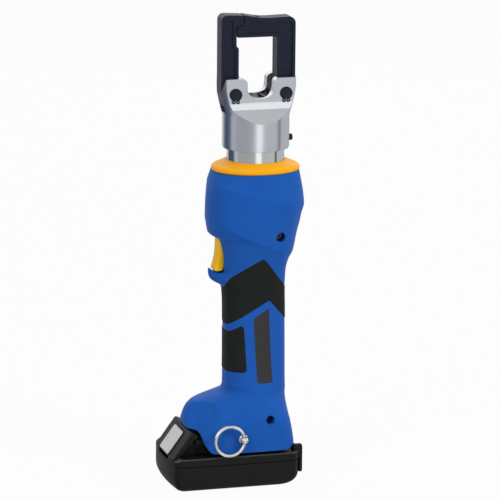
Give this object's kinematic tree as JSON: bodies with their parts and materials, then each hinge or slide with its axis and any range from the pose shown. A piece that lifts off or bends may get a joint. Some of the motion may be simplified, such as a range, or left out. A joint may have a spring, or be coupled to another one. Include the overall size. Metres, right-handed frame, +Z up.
{
  "type": "hydraulic crimping tool",
  "caption": "Cordless hydraulic crimping tool with a black flip-top head, silver yoke, blue pistol-grip housing, yellow trigger and slide-on battery",
  "frame": {"origin": "on the tool's axis at the battery's underside, which the tool stands on", "axes": "+Z up along the tool's axis, -X the trigger side, -Y the operator's left side with the screw heads and the lanyard ring"},
  "size_m": [0.122, 0.0807, 0.403],
  "materials": {
    "satin_steel": "satin turned and milled steel",
    "polished_steel": "ground and polished steel",
    "blackened_steel": "satin blackened forged steel",
    "dark_steel": "plain dark steel",
    "spring_steel": "drawn steel wire and cut steel",
    "ring_chrome": "bright plated wire",
    "contact_brass": "plain brass",
    "pump_aluminium": "machined aluminium",
    "blue_plastic": "fine textured moulded plastic",
    "yellow_plastic": "satin moulded plastic",
    "black_plastic": "plain moulded plastic",
    "battery_plastic": "fine textured moulded plastic",
    "grey_plastic": "plain moulded plastic",
    "black_rubber": "moulded soft rubber",
    "label_film": "plain printed film without marks",
    "board_green": "lacquered board",
    "lead_red": "wire insulation",
    "cell_wrap": "shrink sleeve"
  },
  "bodies": {
    "body": {"cylinder": "polished_steel", "return_spring": "spring_steel", "trim_ring": "yellow_plastic", "left_housing": "blue_plastic", "right_housing": "blue_plastic", "housing_screws": "dark_steel", "grip_band_left": "black_rubber", "grip_band_right": "black_rubber", "grip_pad_left": "black_rubber", "grip_pad_right": "black_rubber", "label": "label_film", "trigger_pin": "spring_steel", "switch_body": "black_plastic", "control_board": "board_green", "motor_leads": "lead_red", "supply_leads": "lead_red", "switch_lead": "grey_plastic", "terminal_block": "black_plastic", "terminal_blades": "contact_brass", "pump_block": "pump_aluminium", "relief_valve": "contact_brass", "return_valve": "contact_brass", "oil_reservoir": "black_rubber", "gear_case": "pump_aluminium", "shaft_bearing": "polished_steel", "motor_can": "dark_steel", "motor_end_cap": "black_plastic"},
    "head": {"yoke": "satin_steel", "hinge_pin": "blackened_steel", "latch_pin": "blackened_steel", "pin_circlips": "blackened_steel", "swivel_ring": "spring_steel", "swivel_plug": "black_plastic"},
    "press_ram": {"ram": "dark_steel", "piston_seal": "black_rubber"},
    "arm": {"top_arm": "blackened_steel"},
    "latch": {"latch_arm": "blackened_steel", "latch_spring": "spring_steel"},
    "trigger_lever": {"trigger": "yellow_plastic", "trigger_spring": "spring_steel"},
    "switch_key": {"switch_plunger": "grey_plastic"},
    "rotor": {"motor_rotor": "dark_steel", "sun_gear": "spring_steel"},
    "carrier": {"planet_carrier": "dark_steel", "cam_ring": "polished_steel"},
    "planet_1": {"planet_gear_1": "spring_steel"},
    "planet_2": {"planet_gear_2": "spring_steel"},
    "planet_3": {"planet_gear_3": "spring_steel"},
    "plunger": {"pump_plunger": "polished_steel"},
    "battery": {"battery_tray": "battery_plastic", "battery_lid": "battery_plastic", "battery_cells": "cell_wrap", "battery_contacts": "contact_brass", "battery_screws": "dark_steel", "button_spring": "spring_steel"},
    "button": {"release_button": "black_plastic", "button_plate": "grey_plastic"},
    "stud": {"ring_stud": "ring_chrome"},
    "ring": {"lanyard_ring": "ring_chrome"}
  },
  "joints": [
    {"name": "head_swivel", "type": "hinge", "parent": "body", "child": "head", "pos_m": [0, 0, 0.296], "axis": [0, 0, 1], "range_deg": [-175, 175]},
    {"name": "arm_hinge", "type": "hinge", "parent": "head", "child": "arm", "pos_m": [0.0219, 0, 0.3368], "axis": [0, 1, 0], "range_deg": [0, 75]},
    {"name": "latch_hinge", "type": "hinge", "parent": "head", "child": "latch", "pos_m": [-0.0219, 0, 0.3368], "axis": [0, 1, 0], "range_deg": [-60, 0]},
    {"name": "ram_slide", "type": "slide", "parent": "head", "child": "press_ram", "axis": [0, 0, 1], "range_m": [0, 0.03], "stiffness_N_per_m": 1500, "springref_m": -0.01, "deforming": ["return_spring"]},
    {"name": "trigger_pull", "type": "hinge", "parent": "body", "child": "trigger_lever", "pos_m": [-0.02732, 0, 0.20923], "axis": [0, -1, 0], "range_deg": [0, 9], "stiffness_Nm_per_rad": 0.5, "springref_deg": -5.73},
    {"name": "switch_slide", "type": "slide", "parent": "body", "child": "switch_key", "axis": [1, 0, 0], "range_m": [0, 0.00157]},
    {"name": "rotor_spin", "type": "hinge", "parent": "body", "child": "rotor", "pos_m": [0, 0, 0.12], "axis": [0, 0, 1], "continuous": true},
    {"name": "carrier_spin", "type": "hinge", "parent": "body", "child": "carrier", "pos_m": [0, 0, 0.167], "axis": [0, 0, 1], "continuous": true},
    {"name": "planet_spin_1", "type": "hinge", "parent": "carrier", "child": "planet_1", "pos_m": [0.00958, 0, 0.16], "axis": [0, 0, 1], "continuous": true},
    {"name": "planet_spin_2", "type": "hinge", "parent": "carrier", "child": "planet_2", "pos_m": [-0.00479, 0.0083, 0.16], "axis": [0, 0, 1], "continuous": true},
    {"name": "planet_spin_3", "type": "hinge", "parent": "carrier", "child": "planet_3", "pos_m": [-0.00479, -0.0083, 0.16], "axis": [0, 0, 1], "continuous": true},
    {"name": "plunger_stroke", "type": "slide", "parent": "body", "child": "plunger", "axis": [1, 0, 0], "range_m": [0, 0.0014]},
    {"name": "battery_slide", "type": "slide", "parent": "body", "child": "battery", "axis": [-1, 0, 0], "range_m": [0, 0.11]},
    {"name": "button_press", "type": "slide", "parent": "battery", "child": "button", "axis": [0, 0, -1], "range_m": [0, 0.003], "stiffness_N_per_m": 500, "springref_m": -0.002, "deforming": ["button_spring"]},
    {"name": "stud_swivel", "type": "hinge", "parent": "body", "child": "stud", "pos_m": [-0.0185, -0.0396, 0.0435], "axis": [0, 1, 0], "continuous": true},
    {"name": "ring_flip", "type": "hinge", "parent": "stud", "child": "ring", "pos_m": [-0.0185, -0.0396, 0.0435], "axis": [0, 0, 1], "range_deg": [0, 180]}
  ],
  "couplings": [
    {"joint": "latch_hinge", "follows": "arm_hinge", "ratio": -0.8},
    {"joint": "switch_slide", "follows": "trigger_pull", "m_per_rad": 0.01},
    {"joint": "carrier_spin", "follows": "rotor_spin", "ratio": 0.25},
    {"joint": "planet_spin_1", "follows": "rotor_spin", "ratio": -0.75},
    {"joint": "planet_spin_2", "follows": "rotor_spin", "ratio": -0.75},
    {"joint": "planet_spin_3", "follows": "rotor_spin", "ratio": -0.75}
  ]
}
